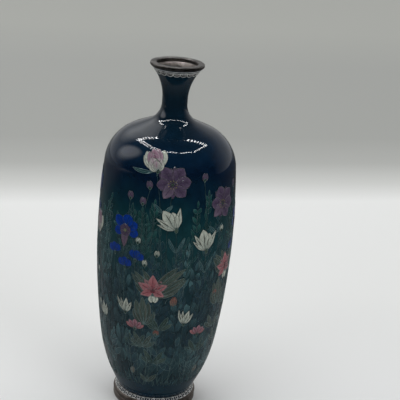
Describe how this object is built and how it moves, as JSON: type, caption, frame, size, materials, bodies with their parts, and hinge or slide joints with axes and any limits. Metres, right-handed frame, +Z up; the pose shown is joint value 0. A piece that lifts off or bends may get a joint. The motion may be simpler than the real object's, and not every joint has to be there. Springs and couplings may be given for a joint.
{
  "type": "cloisonne vase",
  "caption": "Slender cloisonne vase with a tall ovoid body, rounded shoulder, narrow flared neck and metal rims, dark enamel ground with a garden of lilies in wire cells.",
  "frame": {"origin": "centre of the foot's flat resting face", "axes": "+Z up along the vase's axis of revolution, the main picture side faces -Y"},
  "size_m": [0.058, 0.058, 0.1525],
  "materials": {
    "copper": "aged",
    "silver": "tarnished satin",
    "wire": "polished flush",
    "base_coat": "polished",
    "ground": "polished",
    "counter": "polished",
    "border": "polished",
    "coral_lily": "polished",
    "clematis": "polished",
    "bellflower": "polished",
    "white_lily": "polished",
    "rose_lily": "polished",
    "flower_heart": "polished",
    "bud": "polished",
    "leaf": "polished",
    "grass": "polished",
    "neck_lappet": "polished"
  },
  "bodies": {
    "root": {"copper_body": "copper", "copper_shoulder": "copper", "copper_base_plate": "copper", "base_coat_enamel": "base_coat", "ground_enamel": "ground", "counter_enamel": "counter", "base_enamel": "ground", "foot_rim": "silver", "lip_rim": "silver", "neck_ring_wires": "wire", "foot_ring_wires": "wire", "foot_scroll_wires": "wire", "foot_border_enamel": "border", "coral_lily_enamel": "coral_lily", "coral_lily_wires": "wire", "clematis_enamel": "clematis", "clematis_wires": "wire", "bellflower_enamel": "bellflower", "bellflower_wires": "wire", "white_lily_enamel": "white_lily", "white_lily_wires": "wire", "rose_lily_enamel": "rose_lily", "rose_lily_wires": "wire", "flower_heart_enamel": "flower_heart", "flower_heart_wires": "wire", "bud_enamel": "bud", "bud_wires": "wire", "leaf_enamel": "leaf", "leaf_wires": "wire", "grass_enamel": "grass", "grass_wires": "wire", "neck_lappet_enamel": "neck_lappet", "neck_lappet_wires": "wire"}
  },
  "joints": []
}
